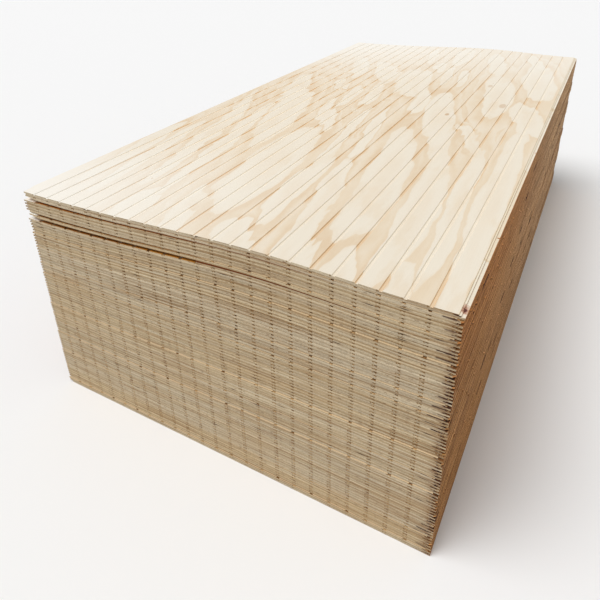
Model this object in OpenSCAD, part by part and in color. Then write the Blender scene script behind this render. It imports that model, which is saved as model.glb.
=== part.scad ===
// Stack of grooved plywood sheets with ship-lap long edges.
// The sheets lie along Y with their front ends at -Y, and the origin is in the middle of the underside.

/* [Sheet] */
// Width of a sheet with its lips
sheet_w = 1220; // [900:10:1500]
// Length of a sheet
sheet_l = 2440; // [1200:10:3000]
// Thickness of a sheet
sheet_t = 9; // [7:0.5:15]

/* [Grooves] */
// Number of grooves across a sheet
groove_count = 23; // [5:2:27]
// Width of a groove at the face
groove_w = 8; // [5.5:0.5:12]
// Width of a groove at its floor
groove_floor_w = 5; // [2:0.5:5]
// Depth of a groove
groove_d = 2.5; // [1:0.25:4]

/* [Ship-lap edges] */
// Width of the lip along each long edge
lap_w = 12; // [6:1:20]
// Play between two lips when one sheet laps the next
lap_play = 0.6; // [0:0.1:2]

/* [Stacking] */
// Gap between sheets at the left
gap_left = 0.2; // [0.2:0.02:0.4]
// Gap between sheets at the right
gap_right = 0.38; // [0.2:0.02:0.9]
// How far a lift's top sheet stands forward of its bottom sheet
creep = 1.2; // [0:0.1:3]
// How far the lifts are out of line sideways
side_jog = 0.9; // [0:0.1:2]
// Turn of the lifts about the upright, in degrees
lift_turn = 0.05; // [0:0.01:0.06]
// Turn of the top sheet about the upright, in degrees
top_turn = 0.08; // [0:0.01:0.1]

/* [Warp] */
// Height of the crown across the upper sheets
crown = 17; // [0:1:18]
// Where the crown stands, to the right of the middle
crown_x = 60; // [-100:10:200]
// Sheets from the floor that lie flat
flat_sheets = 42; // [20:1:60]

/* [Broken sheet] */
// Length of the part missing at the front left
missing_l = 320; // [100:10:800]

/* [Open joints at the left] */
// How far the raised sheets are lifted beyond the thickness of the missing part
raised_gap = 0; // [0:0.5:8]
// Opening over the lowest raised sheet
slit_gap = 4; // [0:0.5:6]
// Opening under the two top sheets
top_gap = 8; // [0:0.5:14]

/* [Hidden] */
// Sheets in each lift, from the floor up
lift_sheets = [2, 5, 8, 8, 5, 3, 4, 9, 3, 4, 6, 5, 3, 2];
// How far each lift stands forward of the pile's front
lift_forward = [0.6, -0.4, 0.2, 0.9, -0.3, 0, 1, -0.5, 0.5, 0, -0.5, 0.5, -1.2, 1];
raised_count = 5;
// Forward offsets of the single sheets and of the raised ones
broken_forward = 1;
lowest_forward = 3;
raised_forward = 1.2;
second_forward = 1.6;
top_forward = 0.9;
// Where the left openings close, to the right of the middle
raised_close_x = 400;
slit_close_x = -60;
top_close_x = 100;
// Half the width over which the gap grows from left to right
gap_change_w = 300;
// Steps of the two angles that scatter the lifts and the sheets in them
lift_angle = 137.5;
sheet_angle = 222.5;

lip_t = (sheet_t - lap_play) / 2;
pitch = (sheet_w - lap_w) / (groove_count + 1);
left_x = -sheet_w / 2;
right_x = sheet_w / 2;
land_right_x = right_x - lap_w;
break_x = left_x + pitch * (groove_count + 1) / 2;

lift_count = len(lift_sheets);
broken_at = sum_to(lift_sheets, lift_count);
raised_at = broken_at + 1;
second_at = raised_at + raised_count;
top_at = second_at + 1;

lift_names = [for (k = [1 : lift_count]) str("lift_", k < 10 ? "0" : "", k)];

// Sum of a list's first n values
function sum_to(list, n) = n == 0 ? 0 : list[n - 1] + sum_to(list, n - 1);

// Smooth step from 0 at a to 1 at b
function ease(a, b, v) =
    let (s = min(1, max(0, (v - a) / (b - a))))
    s * s * (3 - 2 * s);

// Straight ramp from 1 at the left edge to 0 at the given place
function open_left(close_x, x) = max(0, (close_x - x) / (close_x - left_x));

// Raised cosine with its peak at the crown and its feet at the two long edges
function crown_shape(x) =
    let (reach = x < crown_x ? crown_x - left_x : right_x - crown_x)
    (1 + cos(180 * min(1, abs(x - crown_x) / reach))) / 2;

// Height of the underside of sheet i above the floor at x
function height_of(i, x) =
    i * (sheet_t + gap_left)
    + i * (gap_right - gap_left) * ease(-gap_change_w, gap_change_w, x)
    + crown * ease(flat_sheets, broken_at - 1, i) * crown_shape(x)
    + (i >= raised_at ? raised_gap * open_left(raised_close_x, x) : 0)
    + (i > raised_at ? slit_gap * open_left(slit_close_x, x) : 0)
    + (i >= second_at ? top_gap * open_left(top_close_x, x) : 0);

// A point of sheet i's section: z is measured from its underside
function section_point(i, x, z, shift) = [x, z + height_of(i, x + shift)];

// Section of sheet i with its grooves and lips, for a sheet that lies off to the side by shift
function sheet_section(i, shift) =
    let (
        groove_x = [for (k = [1 : groove_count]) left_x + k * pitch],
        face = [
            for (x = groove_x)
                each [
                    [x - groove_w / 2, sheet_t],
                    [x - groove_floor_w / 2, sheet_t - groove_d],
                    [x + groove_floor_w / 2, sheet_t - groove_d],
                    [x + groove_w / 2, sheet_t]
                ]
        ],
        right_lip = [[land_right_x, sheet_t], [land_right_x, lip_t], [right_x, lip_t], [right_x, 0]],
        underside = i == 0 ? [] : [for (k = [groove_count : -1 : 1]) [groove_x[k - 1], 0]],
        left_lip = [
            [left_x + lap_w, 0],
            [left_x + lap_w, sheet_t - lip_t],
            [left_x, sheet_t - lip_t],
            [left_x, sheet_t]
        ]
    )
    [for (p = concat(face, right_lip, underside, left_lip)) section_point(i, p[0], p[1], shift)];

// Sheet i, set forward and turned a little
module sheet(i, forward, shift, turn) {
    translate([shift, -forward, 0])
        rotate([0, 0, turn])
            rotate([90, 0, 0])
                linear_extrude(height = sheet_l, center = true)
                    polygon(sheet_section(i, shift));
}

// A lift of sheets that creep forward from its bottom sheet to its top one
module lift(k) {
    count = lift_sheets[k];
    turn = lift_turn * sin(k * sheet_angle);
    color("burlywood")
        for (n = [0 : count - 1]) {
            i = sum_to(lift_sheets, k) + n;
            shift = side_jog * (0.7 * sin(k * lift_angle) + 0.3 * sin(i * sheet_angle));
            sheet(i, lift_forward[k] + creep * (n / (count - 1) - 0.5), shift, turn);
        }
}

module broken_sheet() {
    color("burlywood")
        difference() {
            sheet(broken_at, broken_forward, 0, 0);
            translate([2 * left_x, -sheet_l, 0])
                cube([break_x - 2 * left_x, sheet_l / 2 + missing_l, 2 * height_of(broken_at, crown_x)]);
        }
}

module raised_sheets() {
    color("burlywood")
        for (n = [0 : raised_count - 1]) {
            forward = raised_forward + creep * (n / (raised_count - 1) - 0.5);
            sheet(raised_at + n, n == 0 ? lowest_forward : forward, 0, 0);
        }
}

module second_sheet() {
    color("tan")
        sheet(second_at, second_forward, 0, 0);
}

module top_sheet() {
    color("wheat")
        sheet(top_at, top_forward, 0, top_turn);
}

for (k = [0 : lift_count - 1])
    lift(k);
broken_sheet();
raised_sheets();
second_sheet();
top_sheet();
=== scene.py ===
import math
import random

import bmesh
import bpy
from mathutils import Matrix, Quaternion, Vector


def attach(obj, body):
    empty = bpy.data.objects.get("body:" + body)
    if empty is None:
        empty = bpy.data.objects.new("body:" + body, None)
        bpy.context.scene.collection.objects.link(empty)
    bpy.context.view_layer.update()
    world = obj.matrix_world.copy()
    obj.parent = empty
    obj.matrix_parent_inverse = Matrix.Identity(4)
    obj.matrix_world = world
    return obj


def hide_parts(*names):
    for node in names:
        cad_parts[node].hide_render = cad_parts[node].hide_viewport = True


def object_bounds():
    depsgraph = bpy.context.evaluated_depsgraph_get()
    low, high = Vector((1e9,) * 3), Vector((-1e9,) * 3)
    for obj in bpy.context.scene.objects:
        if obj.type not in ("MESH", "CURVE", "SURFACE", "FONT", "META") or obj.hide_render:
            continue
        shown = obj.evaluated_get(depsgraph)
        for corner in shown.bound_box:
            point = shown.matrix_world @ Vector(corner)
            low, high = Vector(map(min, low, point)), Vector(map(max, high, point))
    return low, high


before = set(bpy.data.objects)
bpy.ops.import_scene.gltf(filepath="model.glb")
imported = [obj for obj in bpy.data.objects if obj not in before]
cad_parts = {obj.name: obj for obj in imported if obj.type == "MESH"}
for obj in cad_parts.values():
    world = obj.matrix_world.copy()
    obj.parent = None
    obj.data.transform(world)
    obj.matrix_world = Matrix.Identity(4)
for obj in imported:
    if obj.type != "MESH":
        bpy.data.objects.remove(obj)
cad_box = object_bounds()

# Sizes in metres, and the camera that the photograph's corners give
MM = 0.001
CAMERA_AT = Vector((0.7403, -2.0835, 1.3396))
CAMERA_FORWARD = Vector((-0.4526, 0.7759, -0.4394))
CAMERA_ROLL = math.radians(-1.62)
IMAGE_PX = 600
FOCAL_PX = 556.8
AXIS_PX = (283.5, 202.5)
SENSOR_MM = 36
CAMERA_SEES = 100

# Lip damage: regular stations along a long edge, how ragged it is, and the chips in it
LIP_STATIONS = 24
LIP_RAGGED = 0.5 * MM
CHIPS_PER_LIP = 3
CHIP_PLACE = (0.02, 0.98)
CHIP_LENGTH = (4 * MM, 14 * MM)
CHIP_DEPTH = (2 * MM, 7 * MM)
# A chip's outline: the edge cleared round it and the ends of its bottom, in half lengths from its
# middle, and how deep those ends are
CHIP_CLEARED = 1.2
CHIP_BOTTOM = (-0.6, 0.5)
CHIP_BOTTOM_DEPTH = (0.7, 1.0)
# Width of the half groove between a sheet's face and its right lip
HALF_GROOVE_WIDTH = 4.4 * MM
# Veneer joints that show as breaks in the top sheet's lip, along Y
TOP_LIP_BREAKS = (0.640, -0.300, -0.895)
TOP_BREAK_LENGTH = 6 * MM
TOP_BREAK_DEPTH = 7 * MM
# Lips broken off at the front corner
CORNER_CHIP_CHANCE = 0.25
CORNER_CHIP_LENGTH = (2 * MM, 7 * MM)
CORNER_CHIP_DEPTH = (2 * MM, 6 * MM)
CORNER_HALFWAY_DEPTH = (0.4, 0.9)
# Left front corners broken off: what is gone from the lip, from the core's top and from its foot
LEFT_CORNERS = {
    ("top_sheet", 0): (6 * MM, 0.0, 0.0),
    ("second_sheet", 0): (11 * MM, 10 * MM, 36 * MM),
    ("raised_sheets", 0): (11 * MM, 10 * MM, 36 * MM),
}
LEFT_CORNER_LENGTH = 40 * MM

# How a sheet is found in its solid
WELD = 0.001 * MM
FLAT_ANGLE = 0.002
FACING = 0.99
SAME_LEVEL = 4 * MM
# How far from the broken corner its rim may lie
RIM_REACH = 10 * WELD

# How much a sheet's own tone may differ from its piece's
TONE_SPREAD = 0.35

# Texture map for baking: half the width and length that it spans, and the height of each sheet's rows
MAP_NAME = "OFBake"
MAP_HALF = (0.613, 1.2235)
MAP_ROWS = {
    "front": 10,
    "rear": 10,
    "right_half_wall": 3,
    "right_half": 4,
    "right_wall": 4,
    "right_lip": 4,
    "right_edge": 4,
    "left_wall": 4,
    "left_lip": 4,
    "left_edge": 4,
    "top": 15,
    "under": 8,
}
# Rows for whole faces and for sheet ends: the others are for the long edges
FACE_ROWS = ("top", "under")
END_ROWS = ("front", "rear")
# Height of the row for a top face that shows, and the margin inside every row
SHOWN_TOP_ROW = 400
MAP_MARGIN = 0.4
# Length of a covered sheet's ends, as a rule and beside an open joint, and the share of a row for each
LEDGE = 12 * MM
JOINT_LEDGE = 40 * MM
LEDGE_SHARE = 0.4

SURFACES = ("face", "floor", "wall", "end", "long", "lip", "rabbet", "back")


def srgb(red, green, blue):
    """A colour given as 0 to 255 display values, as linear RGBA."""
    def linear(value):
        value /= 255
        return value / 12.92 if value <= 0.04045 else ((value + 0.055) / 1.055) ** 2.4
    return (linear(red), linear(green), linear(blue), 1.0)


def add_object(name, data):
    """Links a new object to the scene."""
    made = bpy.data.objects.new(name, data)
    bpy.context.scene.collection.objects.link(made)
    return made


# Sheets from the frame

class Sheet:
    """One sheet's section at its back end, and the way from there to its front end."""

    def __init__(self, back_face, front_faces):
        def from_left(n):
            return round(corners[n].x, 5), -corners[n].z

        corners = [v.co.copy() for v in back_face.verts]
        first = min(range(len(corners)), key=from_left)
        corners = corners[first:] + corners[:first]
        last = max(range(len(corners)), key=from_left)
        one_way = corners[:last + 1]
        other_way = [corners[0]] + corners[:last - 1:-1]
        height = [sum(c.z for c in chain) / len(chain) for chain in (one_way, other_way)]
        top, bottom = (one_way, other_way) if height[0] > height[1] else (other_way, one_way)
        # Corners from left to right: four to a groove, four down the right edge, three down the left
        self.left_top = top[0]
        self.grooves = [top[n:n + 4] for n in range(1, len(top) - 4, 4)]
        self.right = top[-4:]
        self.left = bottom[1:4]
        self.floor = bottom[3:]
        self.thickness = self.right[0].z - self.floor_at(self.right[0].x).z
        reach = [(back_face.calc_center_median() - f.calc_center_median()).dot(back_face.normal)
                 for f in front_faces]
        self.to_front = -back_face.normal * max(reach)

    def floor_at(self, x):
        """The point of the underside at x, at the back end."""
        for a, b in zip(self.floor, self.floor[1:]):
            if x <= b.x:
                return a.lerp(b, (x - a.x) / (b.x - a.x))
        return self.floor[-1].copy()

    def ply(self, point):
        """How far up through the sheet a point lies, from 0 at the underside to 1 at the face."""
        return (point.z - self.floor_at(point.x).z) / self.thickness


def sheets_of(node):
    """The sheets of a CAD node, from the lowest up, and the Y of its rearmost front face."""
    solid = bmesh.new()
    solid.from_mesh(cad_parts[node].data)
    bmesh.ops.remove_doubles(solid, verts=solid.verts, dist=WELD)
    bmesh.ops.dissolve_limit(solid, angle_limit=FLAT_ANGLE, verts=solid.verts, edges=solid.edges)
    fronts = [f for f in solid.faces if f.normal.y < -FACING]
    backs = [f for f in solid.faces if f.normal.y > FACING]
    backs.sort(key=lambda f: f.calc_center_median().z)
    found = []
    for back in backs:
        level = back.calc_center_median().z
        near = [f for f in fronts if abs(f.calc_center_median().z - level) < SAME_LEVEL]
        found.append(Sheet(back, near if len(backs) > 1 else fronts))
    recess = max(f.calc_center_median().y for f in fronts)
    solid.free()
    return found, recess


# Sheet meshes

def lip_line(rng, length, breaks, corner):
    """Places along a long edge, 0 at the back to 1 at the front, each with how much is chipped off."""
    line = {n / LIP_STATIONS: rng.uniform(0, LIP_RAGGED) for n in range(LIP_STATIONS + 1)}
    chips = [(place, TOP_BREAK_LENGTH, TOP_BREAK_DEPTH) for place in breaks]
    if not breaks:
        chips = [(rng.uniform(*CHIP_PLACE), rng.uniform(*CHIP_LENGTH), rng.uniform(*CHIP_DEPTH))
                 for _ in range(CHIPS_PER_LIP)]
    for middle, wide, deep in chips:
        half = wide / 2 / length
        line = {place: cut for place, cut in line.items() if abs(place - middle) > CHIP_CLEARED * half}
        line[middle - half] = 0.0
        for side in CHIP_BOTTOM:
            line[middle + side * half] = deep * rng.uniform(*CHIP_BOTTOM_DEPTH)
        line[middle + half] = 0.0
    if corner:
        long = corner[0] / length
        deep = corner[1]
        line = {place: cut for place, cut in line.items() if place < 1 - CHIP_CLEARED * long}
        line[1 - long] = 0.0
        line[1 - long / 2] = deep * rng.uniform(*CORNER_HALFWAY_DEPTH)
        line[1.0] = deep
    return sorted(line.items())


class TextureMap:
    """Rows of a piece's texture map, with most room for the surfaces that are seen."""

    def __init__(self, sheets, top_shown, ledge):
        self.ledge = ledge
        heights = dict(MAP_ROWS, top=SHOWN_TOP_ROW if top_shown else MAP_ROWS["top"])
        self.top_shown = top_shown
        self.step = sum(heights.values())
        self.height = self.step * sheets
        self.rows = {}
        low = 0
        for name, height in heights.items():
            self.rows[name] = (low + MAP_MARGIN, height - 2 * MAP_MARGIN)
            low += height

    def along(self, y):
        """Place across a face's row, from front to back: a covered sheet's ends are drawn out there."""
        inward = MAP_HALF[1] - abs(y)
        if self.top_shown:
            part = inward / MAP_HALF[1] / 2
        elif inward < self.ledge:
            part = LEDGE_SHARE * inward / self.ledge
        else:
            rest = (inward - self.ledge) / (MAP_HALF[1] - self.ledge)
            part = LEDGE_SHARE + (0.5 - LEDGE_SHARE) * rest
        return part if y < 0 else 1 - part

    def place(self, sheet, row, point, across):
        """Map place of a point: in face rows by X and Y, in end rows by X, in edge rows by Y."""
        low, height = self.rows[row]
        axis = 0 if row in FACE_ROWS + END_ROWS else 1
        if row in FACE_ROWS:
            across = self.along(point.y)
        u = point[axis] / MAP_HALF[axis] / 2 + 0.5
        v = (sheet * self.step + low + across * height) / self.height
        return u, v


class SheetBuilder:
    """Adds sheets to one mesh, with the values that their materials read and a texture map."""

    def __init__(self, sheets, top_shown, ledge):
        self.mesh = bmesh.new()
        self.map = TextureMap(sheets, top_shown, ledge)
        self.map_layer = self.mesh.loops.layers.uv.new(MAP_NAME)
        self.sheets = 0
        self.ply = self.mesh.verts.layers.float.new("ply")
        self.seed = self.mesh.verts.layers.float.new("sheet")
        self.tone = self.mesh.verts.layers.float.new("tone")

    def vert(self, point, ply, seed, tone):
        vert = self.mesh.verts.new(point)
        vert[self.ply] = ply
        vert[self.seed] = seed
        vert[self.tone] = tone
        return vert

    def lay_out(self, face, row, far=None):
        """Places a face in its row of the map, across it by ply or by which vertices are far ones."""
        for loop in face.loops:
            across = loop.vert[self.ply] if far is None else float(loop.vert in far)
            loop[self.map_layer].uv = self.map.place(self.sheets - 1, row, loop.vert.co, across)

    def face(self, verts, surface, row, far=None):
        face = self.mesh.faces.new(verts)
        face.material_index = SURFACES.index(surface)
        self.lay_out(face, row, far)

    def column(self, sheet, point, seed, tone, line=None, inward=Vector()):
        """Vertices along the sheet from back to front, moved inward by what is chipped off there."""
        ply = sheet.ply(point)
        ledge = self.map.ledge / sheet.to_front.length
        line = line or [(place, 0.0) for place in (0.0, ledge, 1 - ledge, 1.0)]
        points = [point + sheet.to_front * place + inward * cut for place, cut in line]
        return [self.vert(at, ply, seed, tone) for at in points]

    def strip(self, a, b, surface, row):
        """Faces between two columns: quads where both have as many stations, or one face if not."""
        if len(a) == len(b):
            for n in range(len(a) - 1):
                self.face((a[n], a[n + 1], b[n + 1], b[n]), surface, row, b)
        else:
            self.face(a + b[::-1], surface, row, b)

    def add(self, sheet, rng, tone, breaks, left_corner):
        """Adds a sheet, with chips of its own in its lips."""
        self.sheets += 1
        seed = rng.random()
        tone = min(1.0, max(0.0, tone + rng.uniform(-TONE_SPREAD, TONE_SPREAD)))
        length = sheet.to_front.length
        right_corner = None
        if not breaks and rng.random() < CORNER_CHIP_CHANCE:
            right_corner = (rng.uniform(*CORNER_CHIP_LENGTH), rng.uniform(*CORNER_CHIP_DEPTH))
        right_line = lip_line(rng, length, breaks, right_corner)
        lip_gone, core_gone, foot_gone = left_corner or (0.0, 0.0, 0.0)
        left_chip = (LEFT_CORNER_LENGTH, lip_gone) if left_corner else None
        left_line = lip_line(rng, length, (), left_chip)
        core_line = ((0.0, 0.0), (1 - LEFT_CORNER_LENGTH / length, 0.0))

        def col(point, **chipped):
            return self.column(sheet, point, seed, tone, **chipped)

        to_left = Vector((-1, 0, 0))
        to_right = Vector((1, 0, 0))
        left_top = col(sheet.left_top, line=left_line, inward=to_right)
        grooves = [[col(p) for p in groove] for groove in sheet.grooves]
        land_top = col(sheet.right[0])
        down = Vector((0, 0, sheet.grooves[-1][2].z - sheet.grooves[-1][3].z))
        out = Vector((HALF_GROOVE_WIDTH, 0, 0))
        half_in = col(sheet.right[0] + down)
        half_out = col(sheet.right[0] + down + out)
        lip_root = col(sheet.right[1] + out, line=[(place, 0.0) for place, _ in right_line])
        lip_top = col(sheet.right[2], line=right_line, inward=to_left)
        lip_low = col(sheet.right[3], line=right_line, inward=to_left)
        floor = [col(sheet.floor_at((g[1].x + g[2].x) / 2)) for g in sheet.grooves]
        core_low = col(sheet.left[2], line=core_line + ((1.0, foot_gone),), inward=to_right)
        core_top = col(sheet.left[1], line=core_line + ((1.0, core_gone),), inward=to_right)
        left_low = col(sheet.left[0], line=left_line, inward=to_right)

        self.strip(left_top, grooves[0][0], "face", "top")
        for groove in grooves:
            for a, b, surface in zip(groove, groove[1:], ("wall", "floor", "wall")):
                self.strip(a, b, surface, "top")
        for a, b in zip(grooves, grooves[1:]):
            self.strip(a[3], b[0], "face", "top")
        self.strip(grooves[-1][3], land_top, "face", "top")
        self.strip(land_top, half_in, "rabbet", "right_half_wall")
        self.strip(half_in, half_out, "lip", "right_half")
        self.strip(half_out, lip_root, "rabbet", "right_wall")
        self.strip(lip_root, lip_top, "lip", "right_lip")
        self.strip(lip_top, lip_low, "long", "right_edge")
        self.strip(lip_low, floor[-1], "back", "under")
        for a, b in zip(floor[::-1], floor[-2::-1]):
            self.strip(a, b, "back", "under")
        self.strip(floor[0], core_low, "back", "under")
        self.strip(core_low, core_top, "rabbet", "left_wall")
        self.strip(core_top, left_low, "rabbet", "left_lip")
        self.strip(left_low, left_top, "long", "left_edge")

        outlines = [[left_low, core_top, core_low, floor[0], grooves[0][0], left_top]]
        for groove, low in zip(grooves, floor):
            outlines.append([low] + groove[::-1])
        for a, b, low_a, low_b in zip(grooves, grooves[1:], floor, floor[1:]):
            outlines.append([low_a, low_b, b[0], a[3]])
        right_edge = [land_top, half_in, half_out, lip_root, lip_top, lip_low]
        outlines.append([floor[-1]] + right_edge[::-1] + [grooves[-1][3]])
        for end in (0, -1):
            for outline in outlines:
                corners = [c[end] for c in outline]
                self.face(corners if end else corners[::-1], "end", "front" if end else "rear")

    def object(self, name):
        """Makes the finished mesh an object."""
        bmesh.ops.recalc_face_normals(self.mesh, faces=self.mesh.faces)
        data = bpy.data.meshes.new(name)
        self.mesh.to_mesh(data)
        self.mesh.free()
        return add_object(name, data)


def break_away(builder, at_x, at_y):
    """Takes the front left part off a sheet and closes the broken faces."""
    mesh = builder.mesh
    corner = Vector((at_x, at_y, 0))
    for normal in (Vector((1, 0, 0)), Vector((0, 1, 0))):
        everything = mesh.verts[:] + mesh.edges[:] + mesh.faces[:]
        bmesh.ops.bisect_plane(mesh, geom=everything, plane_co=corner, plane_no=normal, dist=WELD)
    lost = [f for f in mesh.faces
            if f.calc_center_median().x < at_x and f.calc_center_median().y < at_y]
    bmesh.ops.delete(mesh, geom=lost, context="FACES")
    rim = [v for v in mesh.verts
           if any(e.is_boundary for e in v.link_edges)
           and max(abs(v.co.x - at_x), abs(v.co.y - at_y)) < RIM_REACH]
    rim.sort(key=lambda v: v.co.z)
    mesh.edges.new((rim[0], rim[-1]))
    bare = [e for e in mesh.edges if len(e.link_faces) < 2]
    made = bmesh.ops.holes_fill(mesh, edges=bare, sides=0)
    for face in made["faces"]:
        face.material_index = SURFACES.index("end")
        face.normal_update()
        builder.lay_out(face, "left_edge" if abs(face.normal.x) > FACING else "front")


# Materials

class Nodes:
    """A node tree whose nodes are added and linked by short calls."""

    def __init__(self, tree):
        self.tree = tree

    def put(self, socket, value):
        if isinstance(value, bpy.types.NodeSocket):
            self.tree.links.new(value, socket)
        else:
            socket.default_value = value

    def add(self, kind, inputs, **settings):
        node = self.tree.nodes.new(kind)
        for name, value in settings.items():
            setattr(node, name, value)
        for name, value in inputs.items():
            self.put(node.inputs[name], value)
        return node

    def math(self, operation, a, b=0.0, c=0.0):
        return self.add("ShaderNodeMath", {0: a, 1: b, 2: c}, operation=operation).outputs[0]

    def times(self, a, b):
        return self.math("MULTIPLY", a, b)

    def plus(self, a, b):
        return self.math("ADD", a, b)

    def minus(self, a, b):
        return self.math("SUBTRACT", a, b)

    def times_plus(self, a, b, c):
        return self.math("MULTIPLY_ADD", a, b, c)

    def off(self, value, middle):
        """How far a value is from a middle, either way."""
        return self.math("ABSOLUTE", self.minus(value, middle))

    def place(self):
        return self.add("ShaderNodeTexCoord", {}).outputs["Object"]

    def value(self, name):
        return self.add("ShaderNodeAttribute", {}, attribute_name=name).outputs["Fac"]

    def split(self, vector):
        return self.add("ShaderNodeSeparateXYZ", {0: vector}).outputs

    def join(self, x, y):
        return self.add("ShaderNodeCombineXYZ", {0: x, 1: y}).outputs[0]

    def stretch(self, vector, x, y, z=1.0):
        inputs = {0: vector, 1: (x, y, z)}
        return self.add("ShaderNodeVectorMath", inputs, operation="MULTIPLY").outputs[0]

    def noise(self, vector, detail, roughness, dimensions="2D"):
        inputs = {"Vector": vector, "Scale": 1.0, "Detail": detail, "Roughness": roughness}
        return self.add("ShaderNodeTexNoise", inputs, noise_dimensions=dimensions).outputs["Fac"]

    def grain(self, vector, per_x, per_y, detail, roughness):
        """Flat noise with so many features a metre along X and along Y."""
        return self.noise(self.stretch(vector, per_x, per_y), detail, roughness)

    def cloud(self, per_metre, detail, roughness):
        """Solid noise with so many features a metre along X, Y and Z."""
        return self.noise(self.stretch(self.place(), *per_metre), detail, roughness, "3D")

    def cells(self, vector, feature="F1"):
        settings = {"voronoi_dimensions": "2D", "feature": feature}
        return self.add("ShaderNodeTexVoronoi", {"Vector": vector, "Scale": 1.0}, **settings).outputs

    def ramp(self, factor, stops):
        node = self.add("ShaderNodeValToRGB", {"Fac": factor})
        stops_in = node.color_ramp.elements
        while len(stops_in) < len(stops):
            stops_in.new(0.5)
        for element, (position, colour) in zip(stops_in, stops):
            element.position = position
            element.color = colour
        return node.outputs["Color"]

    def mask(self, factor, start, end):
        """A smooth step of the factor from 0 at start to 1 at end."""
        inputs = {"Value": factor, "From Min": start, "From Max": end}
        return self.add("ShaderNodeMapRange", inputs, interpolation_type="SMOOTHSTEP").outputs["Result"]

    def mix(self, factor, a, b, blend="MIX"):
        """A mix of two colours, by the sockets that the mix node has for colours."""
        inputs = {0: factor, 6: a, 7: b}
        return self.add("ShaderNodeMix", inputs, data_type="RGBA", blend_type=blend).outputs[2]

    def tint(self, colour, factor, strength, other):
        """The colour with another one mixed in, up to a strength where the factor is 1."""
        return self.mix(self.times(factor, strength), colour, other)

    def shade(self, colour, amount):
        """The colour made lighter or darker by a factor."""
        grey = self.add("ShaderNodeCombineColor", {0: amount, 1: amount, 2: amount}).outputs[0]
        return self.mix(1.0, colour, grey, "MULTIPLY")

    def vary(self, colour, noise, contrast, light=1.0):
        """The colour made lighter and darker by a noise, about a mean brightness."""
        return self.shade(colour, self.times_plus(noise, contrast, light - contrast / 2))


SPECULAR = 0.25
BUMP_STRENGTH = 0.6


class Shader(Nodes):
    """A material with one principled surface."""

    def __init__(self, name, roughness):
        self.material = bpy.data.materials.new(name)
        self.material.use_nodes = True
        super().__init__(self.material.node_tree)
        self.surface = self.tree.nodes["Principled BSDF"]
        self.surface.inputs["Roughness"].default_value = roughness
        self.surface.inputs["Specular IOR Level"].default_value = SPECULAR

    def finish(self, colour, height, depth):
        self.put(self.surface.inputs["Base Color"], colour)
        inputs = {"Height": height, "Strength": BUMP_STRENGTH, "Distance": depth}
        bump = self.add("ShaderNodeBump", inputs)
        self.put(self.surface.inputs["Normal"], bump.outputs["Normal"])
        return self.material


# Colours of faces and grooves, from early wood to late wood, of a painted highlight and of what has
# marked them, and of painted shade at the groove ends
PALE = srgb(239, 229, 211)
CREAM = srgb(236, 221, 198)
TAN = srgb(233, 215, 188)
LATE = srgb(228, 205, 174)
HIGHLIGHT_PALE = srgb(252, 248, 239)
KNOT = srgb(196, 156, 110)
WORN_END = srgb(212, 187, 148)
GROOVE_BROWN = srgb(222, 180, 124)
NOTCH_SHADE_PALE = srgb(206, 172, 124)
NOTCH_SHADE_DARK = srgb(132, 92, 48)
# Colours of sawn edges: the core, the outer veneers, dark streaks and light streaks
END_COLOURS = (srgb(197, 177, 144), srgb(180, 156, 119), srgb(146, 113, 74), srgb(212, 197, 168))
LONG_COLOURS = (srgb(204, 143, 78), srgb(220, 162, 94), srgb(140, 88, 46), srgb(234, 186, 126))
# The step's colours are darker than the long edges', as painted shade of its recess
STEP_SHADE_COLOURS = (srgb(150, 104, 64), srgb(136, 92, 54), srgb(104, 66, 36), srgb(176, 132, 88))
# Tints and marks on sawn edges, with painted shade in the seams and at the groove notches, and painted
# light on the long edges
GREY_PLY = srgb(196, 184, 162)
BROWN_MARKS_AND_SHADE = srgb(104, 66, 32)
VOID = srgb(44, 28, 20)
SPLIT = srgb(54, 20, 10)
END_NOTCH_SHADE = srgb(126, 90, 42)
RUST = srgb(116, 74, 36)
END_STAIN = srgb(178, 144, 100)
LONG_PAINTED_LIGHT = srgb(255, 218, 170)
LONG_PINK = srgb(206, 150, 112)
LONG_WARM = srgb(202, 124, 56)
# Painted shade on the step beside the lip: browns near the sheet ends, a calmer brown and the upper
# sheets' paler one
STEP_SHADE_BROWNS = ((0.38, srgb(40, 20, 10)), (0.50, srgb(106, 64, 34)), (0.64, srgb(202, 170, 128)))
STEP_CALM_SHADE = srgb(156, 106, 56)
STEP_UPPER = srgb(206, 168, 118)
# The top sheet's step, with painted contact shade at its foot, and its lip
TOP_STEP = srgb(228, 202, 158)
TOP_STEP_SHADE = srgb(182, 132, 80)
LIP_TINTS = ((0.0, srgb(237, 222, 195)), (0.25, srgb(237, 226, 204)), (1.0, srgb(240, 232, 214)))
LIP_JOINT = srgb(226, 208, 176)
LIP_KNOT_RIM = srgb(196, 152, 128)
LIP_KNOT_HEART = srgb(92, 50, 44)
# Painted shade in the open joints: warm brown near the front edge, for wide and narrow ones, and dark
# shade further in
WIDE_JOINT_SHADE = srgb(218, 148, 56)
NARROW_JOINT_SHADE = srgb(176, 112, 44)
DEEP_JOINT_SHADE = srgb(146, 80, 28)
# Painted shade of the thin seams at sheet ends
SEAM_SHADE_BROWN = srgb(112, 58, 14)

# Where the sheets end along Y, and the stretch of X over which the joints stand open and carry painted
# shade
END_Y = 1.2205
JOINT_LEFT = (-0.580, -0.550)
JOINT_RIGHT = (0.05, -0.02)
# How far in from the front ends the joints carry painted brown shade, and where it turns to dark shade
JOINT_SHADE_FRONT = (0.10 - END_Y, 0.05 - END_Y)
JOINT_SHADE_DEEP = (0.008 - END_Y, 0.024 - END_Y)
# The stretch over which the wide joint's floor comes into the light
JOINT_LIT = (-0.28, -0.13)
# Height under which the narrow joints lie deeper in shade
JOINT_SHADE = (0.668, 0.660)
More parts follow.
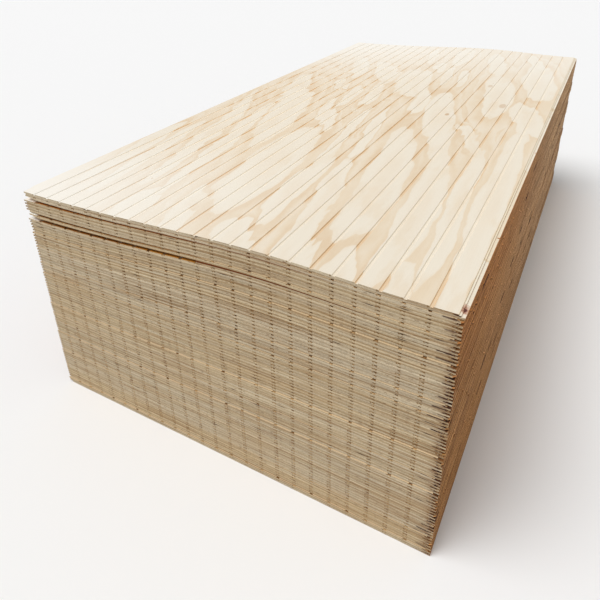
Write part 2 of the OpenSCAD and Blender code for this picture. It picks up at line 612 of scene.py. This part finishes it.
# The stretch of X over which the joint under the second sheet is a painted dark line of shade
SEAM_LEFT = (-0.32, -0.12)
SEAM_RIGHT = (0.44, 0.20)
# Where the top sheet has a painted highlight: left along X, front and back along Y
HIGHLIGHT_LEFT = (0.30, -0.60)
HIGHLIGHT_FRONT = (-0.55, -1.22)
HIGHLIGHT_BACK = (0.10, 1.20)
# The stretch of X over which painted light makes the top sheet's grooves paler towards the left
GROOVE_LIGHT_X = (0.20, -0.40)
# Where the sheet ends are stained and split, at the right along X
STAIN_X = (0.570, 0.600)
SPLIT_X = (0.593, 0.598)
# Where painted light makes the long edges paler along Y, and where they are warmer along Z and Y
PALE_Y = (-1.20, 0.70)
WARM_Z = (0.36, 0.66)
WARM_Y = (0.30, -0.90)
# Heights between which the upper sheets' steps turn paler
UPPER_STEPS = (0.680, 0.692)

# Distances that keep the sheets' figures apart, and the streaks on their edges
FIGURE_STRIDE = 37.0
STREAK_STRIDE = 91.0
# A ply's level is measured from 0 to 1 up through a sheet: half the core, and the blur of its rims
HALF_CORE = 0.225
CORE_RIM = (0.20, 0.25)

# Pale tongues of early wood in the top sheet's face: x and y of the back end and of the front end,
# how far the middle bows to the right, and half the width
TONGUES = (
    (0.18, -0.28, 0.29, -1.09, 0.03, 0.066),
    (0.36, -0.42, 0.42, -1.24, 0.02, 0.044),
    (0.46, -0.36, 0.51, -1.16, 0.00, 0.028),
    (0.54, -0.12, 0.58, -1.30, 0.00, 0.036),
    (0.19, 0.20, 0.36, -0.46, -0.02, 0.055),
    (0.33, -0.13, 0.47, -0.45, 0.00, 0.028),
    (0.35, 0.62, 0.42, -0.03, 0.00, 0.060),
    (0.48, 0.22, 0.57, -0.18, 0.01, 0.055),
    (0.46, 0.95, 0.55, 0.26, 0.00, 0.065),
    (-0.06, 0.62, 0.08, 0.10, 0.00, 0.075),
    (0.11, 0.24, 0.16, -0.14, 0.00, 0.032),
    (0.05, -0.06, 0.12, -0.62, 0.00, 0.022),
    (-0.01, -0.10, 0.08, -0.80, -0.01, 0.018),
    (0.07, -0.66, 0.11, -1.11, -0.01, 0.040),
    (0.12, -0.62, 0.24, -1.16, -0.01, 0.028),
    (-0.12, -0.40, -0.05, -1.10, 0.01, 0.090),
    (-0.20, -0.02, -0.05, -0.42, -0.01, 0.035),
    (-0.19, 0.24, -0.13, -0.10, 0.00, 0.022),
    (-0.11, 0.30, -0.05, -0.05, 0.00, 0.032),
    (-0.38, 0.10, -0.22, -0.62, 0.00, 0.065),
    (-0.42, -0.14, -0.24, -1.08, 0.00, 0.032),
    (-0.58, -0.02, -0.34, -1.06, 0.03, 0.034),
    (-0.53, -0.48, -0.44, -1.12, 0.00, 0.032),
    (-0.60, -0.55, -0.52, -1.10, 0.00, 0.030),
    (-0.52, 0.36, -0.40, -0.12, 0.00, 0.050),
    (-0.33, 0.31, -0.23, 0.13, 0.00, 0.032),
    (-0.40, 0.78, -0.28, 0.36, 0.00, 0.045),
    (-0.28, 0.76, -0.11, 0.30, 0.02, 0.060),
    (-0.27, -1.05, -0.24, -1.30, 0.00, 0.040),
    (-0.16, -0.98, -0.06, -1.32, 0.00, 0.035),
    (0.05, -1.12, 0.13, -1.34, 0.00, 0.060),
    (-0.10, 1.15, -0.03, 0.72, 0.00, 0.032),
    (0.07, 1.18, 0.10, 0.72, 0.00, 0.050),
    (0.03, 0.74, 0.04, 0.57, 0.00, 0.035),
    (0.09, 0.72, 0.14, 0.36, 0.00, 0.022),
    (0.22, 1.10, 0.33, 0.61, 0.00, 0.040),
    (0.40, 1.15, 0.47, 0.86, 0.00, 0.040),
    (0.18, 0.66, 0.21, 0.32, 0.00, 0.024),
    (0.20, -1.04, 0.30, -1.40, 0.00, 0.045),
    (0.33, -1.12, 0.41, -1.42, 0.00, 0.036),
    (0.46, -1.06, 0.53, -1.44, 0.00, 0.030),
)
# How late the wood is along a tongue's spine and between its rings, and a ring's width in half widths
CORE = 0.16
BETWEEN = 0.30
RING_WIDTH = 0.62
# Knots in the top sheet's face: where they are, their radii along X and Y, and how strong they are
TOP_KNOTS = (
    ((0.146, -0.111), (0.004, 0.008), 0.6),
    ((0.272, -0.067), (0.007, 0.014), 0.7),
    ((0.430, 0.150), (0.012, 0.030), 0.45),
    ((0.330, 0.420), (0.009, 0.022), 0.35),
)
# A knot in the top sheet's lip, and its radii
LIP_KNOT = (0.6055, -1.196)
LIP_KNOT_RADIUS = (0.006, 0.012)


def spot_distance(shader, axes, middle, radius):
    """Distance from a spot's middle, in its own radii along X and Y."""
    off = [shader.math("DIVIDE", shader.minus(axes[n], middle[n]), radius[n]) for n in (0, 1)]
    square = shader.times(off[1], off[1])
    return shader.math("SQRT", shader.times_plus(off[0], off[0], square))


def tongue_distance(nodes, x, y, tongue):
    """Square of the distance from a tongue's middle, in half widths off its spine and half lengths."""
    back_x, back_y, front_x, front_y, bow, half_width = tongue
    half_length = (back_y - front_y) / 2
    along = nodes.times_plus(y, 1 / half_length, -(back_y + front_y) / 2 / half_length)
    square = nodes.times(along, along)
    spine = nodes.times_plus(along, (back_x - front_x) / 2, (back_x + front_x) / 2 + bow)
    spine = nodes.times_plus(square, -bow, spine)
    off = nodes.math("DIVIDE", nodes.minus(x, spine), half_width)
    return nodes.times_plus(off, off, square)


def sway(nodes, axis, noise, reach):
    """A coordinate moved to and fro by a noise."""
    return nodes.times_plus(noise, reach, nodes.minus(axis, reach / 2))


def top_figure():
    """How late the wood is over the top sheet: least in the tongues, most at the rims round them."""
    nodes = Nodes(bpy.data.node_groups.new("top_figure", "ShaderNodeTree"))
    nodes.tree.interface.new_socket("Late", in_out="OUTPUT", socket_type="NodeSocketFloat")
    at = nodes.place()
    axes = nodes.split(at)
    lobes = nodes.grain(at, 8.0, 2.6, 2.0, 0.5)
    fringe = nodes.grain(at, 36.0, 13.0, 2.0, 0.5)
    flames = nodes.grain(at, 17.0, 3.1, 2.0, 0.55)
    x = sway(nodes, sway(nodes, axes[0], lobes, 0.050), fringe, 0.012)
    y = sway(nodes, sway(nodes, axes[1], flames, 0.20), fringe, 0.03)
    nearest = tongue_distance(nodes, x, y, TONGUES[0])
    for tongue in TONGUES[1:]:
        nearest = nodes.math("MINIMUM", nearest, tongue_distance(nodes, x, y, tongue))
    away = nodes.math("SQRT", nearest)
    # Rings round the tongues, the first one darkest
    strength = nodes.mask(nodes.grain(at, 3.1, 1.7, 2.0, 0.5), 0.25, 0.60)
    strength = nodes.times_plus(strength, 0.5, 0.5)
    turn = nodes.times_plus(away, 1 / RING_WIDTH, -1 / RING_WIDTH)
    ring = nodes.math("FRACT", turn)
    sharp = nodes.math("MAXIMUM", nodes.mask(ring, 0.0, 0.14), nodes.mask(away, 1.3, 1.2))
    rim = nodes.times(nodes.times(nodes.mask(ring, 0.95, 0.05), sharp), strength)
    rim = nodes.times(rim, nodes.times_plus(nodes.mask(turn, 1.02, 0.98), 0.30, 0.70))
    outside = nodes.times_plus(rim, 1 - BETWEEN, BETWEEN)
    core = nodes.times(nodes.mask(away, 0.75, 0.20), CORE)
    # Crisp rims in some places and soft ones in others
    soft = nodes.mask(nodes.grain(at, 2.7, 1.3, 2.0, 0.5), 0.44, 0.60)
    crisp_rim = nodes.mask(away, 0.88, 1.06)
    soft_rim = nodes.minus(nodes.mask(away, 0.62, 1.30), crisp_rim)
    start = nodes.times_plus(soft_rim, soft, crisp_rim)
    late = nodes.plus(nodes.times(outside, start), core)
    patch = nodes.grain(at, 16.0, 6.0, 4.0, 0.6)
    late = nodes.times(late, nodes.times_plus(patch, 1.2, 0.40))
    nodes.add("NodeGroupOutput", {0: late})
    return nodes.tree


def sheet_figure(shader, at):
    """How late the wood is over any other sheet: rings drawn out along the grain into tongues."""
    axes = shader.split(at)
    slope = shader.times_plus(axes[1], 2.6, shader.times(axes[0], 4.6))
    slope = shader.times_plus(shader.grain(at, 4.0, 0.9, 2.0, 0.5), 2.2, slope)
    slope = shader.times_plus(shader.grain(at, 15.0, 2.6, 2.0, 0.55), 0.9, slope)
    ring = shader.math("FRACT", slope)
    return shader.times(ring, shader.mask(ring, 1.0, 0.93))


def sheet_place(shader):
    """Object coordinates, moved far off for each sheet so that no two share a figure."""
    shift = shader.times(shader.value("sheet"), FIGURE_STRIDE)
    axes = shader.split(shader.place())
    return shader.join(shader.plus(axes[0], shift), shader.plus(axes[1], shift))


def veneer_colour(shader, at, late, light):
    """Early wood to late wood, with fibres and faint blotches."""
    colour = shader.ramp(late, ((0.0, PALE), (0.34, CREAM), (0.66, TAN), (1.0, LATE)))
    fibre = shader.grain(at, 420.0, 9.0, 3.0, 0.65)
    patch = shader.grain(at, 13.0, 4.0, 4.0, 0.6)
    colour = shader.tint(colour, shader.mask(patch, 0.52, 0.72), 0.45, TAN)
    return shader.vary(colour, fibre, 0.07, light), fibre


def painted_highlight(shader, axes, colour, most):
    """Paints a highlight on the top sheet's back, and up to the given share on its front left corner.
    """
    left = shader.mask(axes[0], *HIGHLIGHT_LEFT)
    corner = shader.times(shader.times(left, shader.mask(axes[1], *HIGHLIGHT_FRONT)), most)
    back = shader.times(shader.mask(axes[1], *HIGHLIGHT_BACK), shader.times_plus(left, 0.35, 0.50))
    return shader.mix(shader.math("MAXIMUM", corner, back), colour, HIGHLIGHT_PALE)


def top_face(figure):
    """The top sheet's face, with its knots and a few specks."""
    shader = Shader("top_face", 0.6)
    at = shader.place()
    axes = shader.split(at)
    late = shader.add("ShaderNodeGroup", {}, node_tree=figure).outputs["Late"]
    colour, fibre = veneer_colour(shader, at, late, 1.0)
    # Painted highlight on the top's back and front left corner
    colour = painted_highlight(shader, axes, colour, 0.85)
    for middle, radius, strength in TOP_KNOTS:
        knot = spot_distance(shader, axes, middle, radius)
        colour = shader.tint(colour, shader.mask(knot, 1.3, 0.7), strength, KNOT)
    cell = shader.cells(shader.stretch(at, 9.0, 5.0))
    speck = shader.mask(cell["Distance"], 0.022, 0.012)
    chosen = shader.math("GREATER_THAN", shader.split(cell["Color"])[0], 0.86)
    colour = shader.tint(colour, shader.times(speck, chosen), 0.7, KNOT)
    return shader.finish(colour, fibre, 0.4 * MM)


def near_ends(shader, axes, reach):
    """1 within the given distance of either sheet end, 0 beyond."""
    return shader.mask(shader.math("ABSOLUTE", axes[1]), END_Y - reach, END_Y - 0.6 * reach)


def pine_face(name, light, joint=None):
    """Face or back of a sheet, worn at its ends: in an open joint painted with brown shade, and painted
    with a highlight at the joint's left end.
    """
    shader = Shader(name, 0.65)
    at = sheet_place(shader)
    axes = shader.split(shader.place())
    colour, fibre = veneer_colour(shader, at, sheet_figure(shader, at), light)
    colour = shader.tint(colour, near_ends(shader, axes, 5 * MM), 0.85, WORN_END)
    if joint:
        # Painted shade in the open joint: warm brown near the front, dark further in, and darker low in
        # the narrow joints
        inside = shader.mask(axes[0], *JOINT_LEFT)
        between = shader.times(inside, shader.mask(axes[0], *JOINT_RIGHT))
        near_front = shader.mask(axes[1], *JOINT_SHADE_FRONT)
        deep = shader.mask(axes[1], *JOINT_SHADE_DEEP)
        lit = shader.mix(shader.mask(axes[0], *JOINT_LIT), NARROW_JOINT_SHADE, joint)
        brown = shader.mix(deep, lit, DEEP_JOINT_SHADE)
        if joint is NARROW_JOINT_SHADE:
            shade = shader.mask(axes[2], *JOINT_SHADE)
            brown = shader.shade(brown, shader.times_plus(shade, -0.45, 1.0))
        # Painted highlight at the open joint's left end
        colour = shader.mix(inside, HIGHLIGHT_PALE, colour)
        colour = shader.mix(shader.times(between, near_front), colour, brown)
    return shader.finish(colour, fibre, 0.4 * MM)


def groove_surface(name, contrast):
    """Side or bottom of a routed groove: torn fibres, with painted shade near the sheet ends, where the
    groove opens into a notch under the next sheet.
    """
    shader = Shader(name, 0.85)
    at = sheet_place(shader)
    torn = shader.grain(at, 300.0, 24.0, 4.0, 0.7)
    broad = shader.grain(at, 14.0, 2.2, 3.0, 0.6)
    colour = shader.mix(shader.mask(broad, 0.42, 0.64), CREAM, GROOVE_BROWN)
    # Painted shade in the notch at each end of the groove
    end = near_ends(shader, shader.split(shader.place()), 9 * MM)
    luck = shader.grain(at, 16.0, 0.0, 1.0, 0.5)
    notch_shade = shader.mix(shader.mask(luck, 0.40, 0.66), NOTCH_SHADE_PALE, NOTCH_SHADE_DARK)
    colour = shader.mix(end, colour, notch_shade)
    return shader.finish(shader.vary(colour, torn, contrast), torn, 0.8 * MM)


def top_groove(figure, name, brown, light):
    """Side or bottom of a groove in the top sheet, with the face's figure, browner in the late wood,
    and painted lighter towards the left against its shade.
    """
    shader = Shader(name, 0.8)
    at = shader.place()
    late = shader.add("ShaderNodeGroup", {}, node_tree=figure).outputs["Late"]
    colour, _ = veneer_colour(shader, at, late, light)
    colour = shader.tint(colour, shader.mask(late, 0.25, 0.90), brown, GROOVE_BROWN)
    torn = shader.grain(at, 300.0, 18.0, 4.0, 0.7)
    axes = shader.split(at)
    # Painted light, making the grooves paler towards the left
    groove_light = shader.times_plus(shader.mask(axes[0], *GROOVE_LIGHT_X), 0.14, 0.92)
    colour = shader.shade(colour, shader.times_plus(torn, 0.16, groove_light))
    # Painted highlight, as on the face
    return shader.finish(painted_highlight(shader, axes, colour, 0.95), torn, 0.6 * MM)


class Edge(Shader):
    """A material for sawn edges, with their ply level, streaks, speckle, glue lines and painted shade
    in the seams between sheets.
    """

    def __init__(self, name, roughness, axis, long_streak, fine_streak):
        super().__init__(name, roughness)
        self.axes = self.split(self.place())
        self.along = self.axes[axis]
        self.ply = self.value("ply")
        self.tone = self.value("tone")
        self.seed = self.times(self.value("sheet"), STREAK_STRIDE)
        self.chance = self.math("FRACT", self.times(self.seed, 1.37))
        self.streak = self.noise(self.at(long_streak, 1.7), 4.0, 0.6)
        self.fine = self.noise(self.at(fine_streak, 6.0), 3.0, 0.6)
        self.speckle = self.cloud((240.0, 240.0, 240.0), 3.0, 0.7)
        half = self.off(self.ply, 0.5)
        self.veneer = self.mask(half, *CORE_RIM)
        line = self.mask(self.off(half, HALF_CORE), 0.08, 0.0)
        self.glue = self.times(line, self.mask(self.fine, 0.44, 0.60))
        # Painted shade of the gaps between sheets, along each sheet's top and bottom rims
        seam_luck = self.noise(self.at(long_streak * 1.6, 0.0), 3.0, 0.6)
        self.seam_shade = self.times(self.mask(half, 0.36, 0.49), self.mask(seam_luck, 0.48, 0.64))

    def at(self, scale, levels):
        """Coordinates along the edge and up through its plies, different for each sheet."""
        across = self.times_plus(self.ply, levels, self.seed)
        return self.join(self.times(self.along, scale), across)

    def holes(self, scale, levels, chance, reach):
        """Ragged spots in some of the cells of a grid along the edge."""
        cell = self.cells(self.at(scale, levels))
        away = self.times_plus(self.fine, 0.16, cell["Distance"])
        chosen = self.math("GREATER_THAN", self.split(cell["Color"])[0], 1 - chance)
        return self.times(self.mask(away, reach + 0.08, reach), chosen)

    def paint(self, colours, grey, spread=0.16):
        """Plies, streaks, glue lines and painted brown shade in the seams between sheets, in a
        brightness of each sheet's own.
        """
        core, veneer, dark, light = colours
        colour = self.mix(self.veneer, core, veneer)
        colour = self.tint(colour, self.tone, grey, GREY_PLY)
        colour = self.tint(colour, self.mask(self.streak, 0.52, 0.68), 0.75, dark)
        colour = self.tint(colour, self.mask(self.streak, 0.45, 0.30), 0.7, light)
        colour = self.tint(colour, self.glue, 0.60, BROWN_MARKS_AND_SHADE)
        # Painted shade in the seams
        colour = self.tint(colour, self.seam_shade, 0.60, BROWN_MARKS_AND_SHADE)
        amount = self.times_plus(self.chance, spread, 1.02 - spread / 2)
        amount = self.times_plus(self.fine, 0.40, self.minus(amount, 0.20))
        amount = self.times_plus(self.speckle, 0.80, self.minus(amount, 0.40))
        return self.shade(colour, amount)

    def pit(self, colour, fleck_chance, void_scale, void_chance):
        """Brown flecks and dark open joints in a colour."""
        colour = self.tint(colour, self.holes(38.0, 2.6, fleck_chance, 0.22), 0.75, BROWN_MARKS_AND_SHADE)
        colour = self.tint(colour, self.holes(void_scale, 1.6, void_chance, 0.30), 0.5, BROWN_MARKS_AND_SHADE)
        self.void = self.holes(void_scale, 1.6, void_chance, 0.17)
        return self.mix(self.void, colour, VOID)

    def finish_edge(self, colour):
        height = self.minus(self.fine, self.times(self.void, 2.0))
        return self.finish(colour, height, 0.7 * MM)


def end_notch_shade(edge, first_x, pitch):
    """Painted shade on a sheet end at both sides of its grooves' notches, stronger at some than at
    others.
    """
    count = edge.math("DIVIDE", edge.minus(edge.axes[0], first_x), pitch)
    off = edge.off(edge.math("FRACT", edge.plus(count, 0.5)), 0.5)
    near = edge.mask(edge.off(off, 0.075), 0.055, 0.015)
    upper = edge.mask(edge.ply, 0.42, 0.70)
    luck = edge.noise(edge.at(1 / pitch, 0.0), 2.0, 0.6)
    return edge.times(edge.times(near, upper), edge.mask(luck, 0.34, 0.60))


def split_stretch(edge):
    """1 at the heights in the pile where many right corners are split, 0 where they are calm."""
    level = edge.times(edge.axes[2], 13.0)
    return edge.mask(edge.noise(edge.join(level, 0.0), 2.0, 0.5), 0.40, 0.56)


def corner_split(edge):
    """Dark splits in at the right corner, longer in some sheets than in others."""
    luck = edge.math("POWER", edge.math("FRACT", edge.times(edge.seed, 2.71)), 3.0)
    reach = edge.times_plus(luck, 0.032, edge.axes[0])
    level = edge.times_plus(edge.fine, 0.5, edge.ply)
    band = edge.mask(edge.off(level, 0.92), 0.24, 0.14)
    split = edge.times(edge.mask(reach, *SPLIT_X), band)
    return edge.times(split, edge.times_plus(split_stretch(edge), 0.45, 0.55))


def upper_seam_shade(edge):
    """Painted shade of the open joint over the broken sheet's front end, closing towards the right."""
    level = edge.times_plus(edge.axes[0], -1.2, edge.ply)
    return edge.mask(level, 0.14, 0.32)


def lower_seam_shade(edge):
    """Painted shade of the joint under the second sheet's front end, where it is too narrow to look
    into.
    """
    across = edge.times(edge.mask(edge.axes[0], *SEAM_LEFT), edge.mask(edge.axes[0], *SEAM_RIGHT))
    return edge.times(edge.times(edge.mask(edge.ply, 0.30, 0.16), across), 0.85)


def sawn_end(name, first_x, pitch, seam_shade=None):
    """Sheet ends: browner over and under a paler core, split and stained at the right corner."""
    edge = Edge(name, 0.85, axis=0, long_streak=2.6, fine_streak=30.0)
    colour = edge.paint(END_COLOURS, 0.55)
    broad = edge.cloud((3.0, 1.0, 9.0), 3.0, 0.6)
    colour = edge.tint(colour, edge.mask(broad, 0.50, 0.70), 0.25, END_STAIN)
    # Painted shade beside the grooves' notches
    colour = edge.tint(colour, end_notch_shade(edge, first_x, pitch), 0.85, END_NOTCH_SHADE)
    colour = edge.pit(colour, 0.11, 14.0, 0.018)
    corner = edge.mask(edge.axes[0], *STAIN_X)
    stain = edge.times(corner, edge.mask(edge.fine, 0.46, 0.60))
    colour = edge.tint(colour, stain, 0.8, RUST)
    colour = edge.mix(corner_split(edge), colour, SPLIT)
    # Painted shade of a seam on the front end
    if seam_shade:
        front = edge.math("LESS_THAN", edge.axes[1], 0.0)
        colour = edge.mix(edge.times(seam_shade(edge), front), colour, SEAM_SHADE_BROWN)
    return edge.finish_edge(colour)


def torn_places(edge):
    """Places where the long edges of a sheet or two are torn out."""
    left = edge.math("LESS_THAN", edge.axes[0], 0.0)
    along = edge.times_plus(left, 3.7, edge.axes[1])
    cell = edge.cells(edge.stretch(edge.join(along, edge.axes[2]), 9.0, 50.0))
    ragged = edge.times_plus(edge.speckle, 0.4, cell["Distance"])
    chosen = edge.math("GREATER_THAN", edge.split(cell["Color"])[0], 0.945)
    return edge.times(edge.mask(ragged, 0.58, 0.46), chosen)


def sawn_long_edge():
    """Long edges: brown, with fine lines along the sheet and open joints, and painted light making them
    paler towards the back.
    """
    edge = Edge("sawn_long_edge", 0.85, axis=1, long_streak=2.2, fine_streak=26.0)
    colour = edge.paint(LONG_COLOURS, 0.0, 0.30)
    # Painted light, paler towards the back
    colour = edge.tint(colour, edge.mask(edge.axes[1], *PALE_Y), 0.70, LONG_PAINTED_LIGHT)
    broad = edge.cloud((1.0, 1.6, 7.0), 3.0, 0.6)
    colour = edge.tint(colour, edge.chance, 0.35, LONG_PINK)
    warm = edge.times(edge.mask(edge.axes[2], *WARM_Z), edge.mask(edge.axes[1], *WARM_Y))
    colour = edge.tint(colour, warm, 0.50, LONG_WARM)
    colour = edge.vary(colour, broad, 0.9, 1.01)
    colour = edge.pit(colour, 0.22, 12.0, 0.08)
    return edge.finish_edge(edge.mix(torn_places(edge), colour, SPLIT))


def rabbet():
    """Machined step of the ship-lap: brown, with painted shade of its recess, mottled near the sheet
    ends.
    """
    edge = Edge("rabbet", 0.9, axis=1, long_streak=2.2, fine_streak=60.0)
    # Browns darker than the long edges', as painted shade of the recess
    colour = edge.paint(STEP_SHADE_COLOURS, 0.0)
    browns = edge.ramp(edge.cloud((70.0, 30.0, 110.0), 3.0, 0.65), STEP_SHADE_BROWNS)
    calm = edge.times_plus(split_stretch(edge), -0.5, 0.5)
    browns = edge.mix(calm, browns, STEP_CALM_SHADE)
    browns = edge.mix(edge.mask(edge.axes[2], *UPPER_STEPS), browns, STEP_UPPER)
    colour = edge.mix(near_ends(edge, edge.axes, 40 * MM), colour, browns)
    colour = edge.pit(colour, 0.05, 20.0, 0.02)
    return edge.finish_edge(edge.mix(torn_places(edge), colour, SPLIT))


def top_step():
    """Upright step between the top sheet's face and its lip: clean sawn veneers, with painted contact
    shade at the foot.
    """
    shader = Shader("top_step", 0.8)
    saw = shader.grain(shader.place(), 60.0, 200.0, 3.0, 0.6)
    # Painted contact shade at the foot
    colour = shader.mix(shader.mask(shader.value("ply"), 0.74, 0.62), TOP_STEP, TOP_STEP_SHADE)
    return shader.finish(shader.vary(colour, saw, 0.2), saw, 0.5 * MM)


def top_lip():
    """The top sheet's lip: lengths of core veneer in different tints, their joints, and a knot."""
    shader = Shader("top_lip", 0.75)
    at = shader.place()
    axes = shader.split(at)
    along = shader.join(shader.times(axes[1], 2.2), 0.0)
    colour = shader.ramp(shader.split(shader.cells(along)["Color"])[1], LIP_TINTS)
    joint = shader.cells(along, "DISTANCE_TO_EDGE")["Distance"]
    colour = shader.mix(shader.mask(joint, 0.012, 0.004), colour, LIP_JOINT)
    fibre = shader.grain(at, 60.0, 240.0, 3.0, 0.6)
    ragged = shader.grain(at, 170.0, 130.0, 2.0, 0.5)
    knot = shader.times_plus(ragged, 1.6, spot_distance(shader, axes, LIP_KNOT, LIP_KNOT_RADIUS))
    colour = shader.mix(shader.mask(knot, 2.6, 1.5), colour, LIP_KNOT_RIM)
    colour = shader.mix(shader.mask(knot, 1.6, 1.1), colour, LIP_KNOT_HEART)
    return shader.finish(shader.vary(colour, fibre, 0.24), fibre, 0.6 * MM)


def sheet_materials(first_x, pitch):
    """Materials by kind of surface: for most nodes, and for those at the open joints and the top."""
    figure = top_figure()
    step = rabbet()
    usual = {
        "face": pine_face("pine_face", 0.95),
        "floor": groove_surface("groove_floor", 0.2),
        "wall": groove_surface("groove_wall", 0.3),
        "end": sawn_end("sawn_end", first_x, pitch),
        "long": sawn_long_edge(),
        "lip": step,
        "rabbet": step,
        "back": pine_face("pine_back", 0.88),
    }
    under = pine_face("joint_back", 0.88, NARROW_JOINT_SHADE)
    joint = dict(usual, face=pine_face("joint_face", 0.95, NARROW_JOINT_SHADE), back=under)
    kinds = {
        "lift_14": dict(joint, face=pine_face("wide_joint_face", 0.95, WIDE_JOINT_SHADE)),
        "broken_sheet": dict(usual, end=sawn_end("broken_end", first_x, pitch, upper_seam_shade)),
        "raised_sheets": joint,
        "second_sheet": dict(joint, end=sawn_end("second_end", first_x, pitch, lower_seam_shade)),
        "top_sheet": dict(
            joint,
            face=top_face(figure),
            # The grooves' floors and walls are painted lighter against their shade, the walls most
            floor=top_groove(figure, "top_groove_floor", 0.34, 0.99),
            wall=top_groove(figure, "top_groove_wall", 0.60, 1.06),
            lip=top_lip(),
            rabbet=top_step(),
        ),
    }
    return usual, kinds


# Pieces

# How grey the ends of some pieces' sheets are, from 0 to 1, and the range for the others
TONES = {"top_sheet": 1.0, "second_sheet": 0.95, "raised_sheets": 0.25, "lift_14": 0.7}
USUAL_TONE = (0.25, 0.65)
FIRST_SEED = 100


def build_pieces():
    """One piece for each CAD node, with all its sheets."""
    found = {node: sheets_of(node) for node in sorted(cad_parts)}
    grooves = found["top_sheet"][0][0].grooves
    middles = [(groove[1].x + groove[2].x) / 2 for groove in grooves]
    pitch = (middles[-1] - middles[0]) / (len(middles) - 1)
    usual, kinds = sheet_materials(middles[0], pitch)
    for number, (node, (sheets, recess)) in enumerate(found.items()):
        rng = random.Random(FIRST_SEED + number)
        is_top = node == "top_sheet"
        builder = SheetBuilder(len(sheets), is_top, JOINT_LEDGE if node in kinds else LEDGE)
        tone = TONES.get(node, rng.uniform(*USUAL_TONE))
        for level, sheet in enumerate(sheets):
            front_y = sheet.left_top.y + sheet.to_front.y
            length = sheet.to_front.length
            breaks = [1 - (y - front_y) / length for y in TOP_LIP_BREAKS] if is_top else ()
            builder.add(sheet, rng, tone, breaks, LEFT_CORNERS.get((node, level)))
        if node == "broken_sheet":
            break_away(builder, middles[len(middles) // 2], recess)
        piece = builder.object(node + "_wood")
        for surface in SURFACES:
            piece.data.materials.append(kinds.get(node, usual)[surface])
        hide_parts(node)
        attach(piece, "root")


# Camera, floor and light

def add_camera():
    data = bpy.data.cameras.new("photo_camera")
    data.sensor_width = SENSOR_MM
    data.lens = SENSOR_MM * FOCAL_PX / IMAGE_PX
    data.shift_x = 0.5 - AXIS_PX[0] / IMAGE_PX
    data.shift_y = AXIS_PX[1] / IMAGE_PX - 0.5
    data.clip_end = CAMERA_SEES
    camera = add_object("photo_camera", data)
    camera.location = CAMERA_AT
    camera.rotation_mode = "QUATERNION"
    level = CAMERA_FORWARD.to_track_quat("-Z", "Y")
    camera.rotation_quaternion = level @ Quaternion((0, 0, 1), CAMERA_ROLL)
    bpy.context.scene.camera = camera


FLOOR_SIZE = 60.0
FLOOR_WHITE = (0.93, 0.93, 0.93, 1)


def add_floor():
    mesh = bpy.data.meshes.new("floor")
    half = FLOOR_SIZE / 2
    low = cad_box[0][2]
    corners = [(x * half, y * half, low) for x, y in ((-1, -1), (1, -1), (1, 1), (-1, 1))]
    mesh.from_pydata(corners, [], [(0, 1, 2, 3)])
    floor = add_object("floor", mesh)
    shader = Shader("floor_white", 0.9)
    shader.surface.inputs["Base Color"].default_value = FLOOR_WHITE
    mesh.materials.append(shader.material)


SKY_LIGHT = 0.42
SUN_LIGHT = 2.0
SUN_SOFTNESS = math.radians(36)
SUN_FROM = Vector((-0.30, -0.36, 1.0))


def add_light():
    world = bpy.data.worlds.new("studio")
    bpy.context.scene.world = world
    world.use_nodes = True
    nodes = Nodes(world.node_tree)
    background = nodes.tree.nodes["Background"]
    path = nodes.add("ShaderNodeLightPath", {}).outputs
    seen = nodes.math("MAXIMUM", path["Is Camera Ray"], path["Is Glossy Ray"])
    strength = nodes.add("ShaderNodeMapRange", {"Value": seen, "To Min": SKY_LIGHT})
    nodes.put(background.inputs["Strength"], strength.outputs["Result"])
    background.inputs["Color"].default_value = (1, 1, 1, 1)
    data = bpy.data.lights.new("key", "SUN")
    data.energy = SUN_LIGHT
    data.angle = SUN_SOFTNESS
    key = add_object("key", data)
    key.rotation_mode = "QUATERNION"
    key.rotation_quaternion = (-SUN_FROM).to_track_quat("-Z", "Y")


build_pieces()
add_camera()
add_floor()
add_light()
bpy.context.scene.view_settings.view_transform = "Standard"
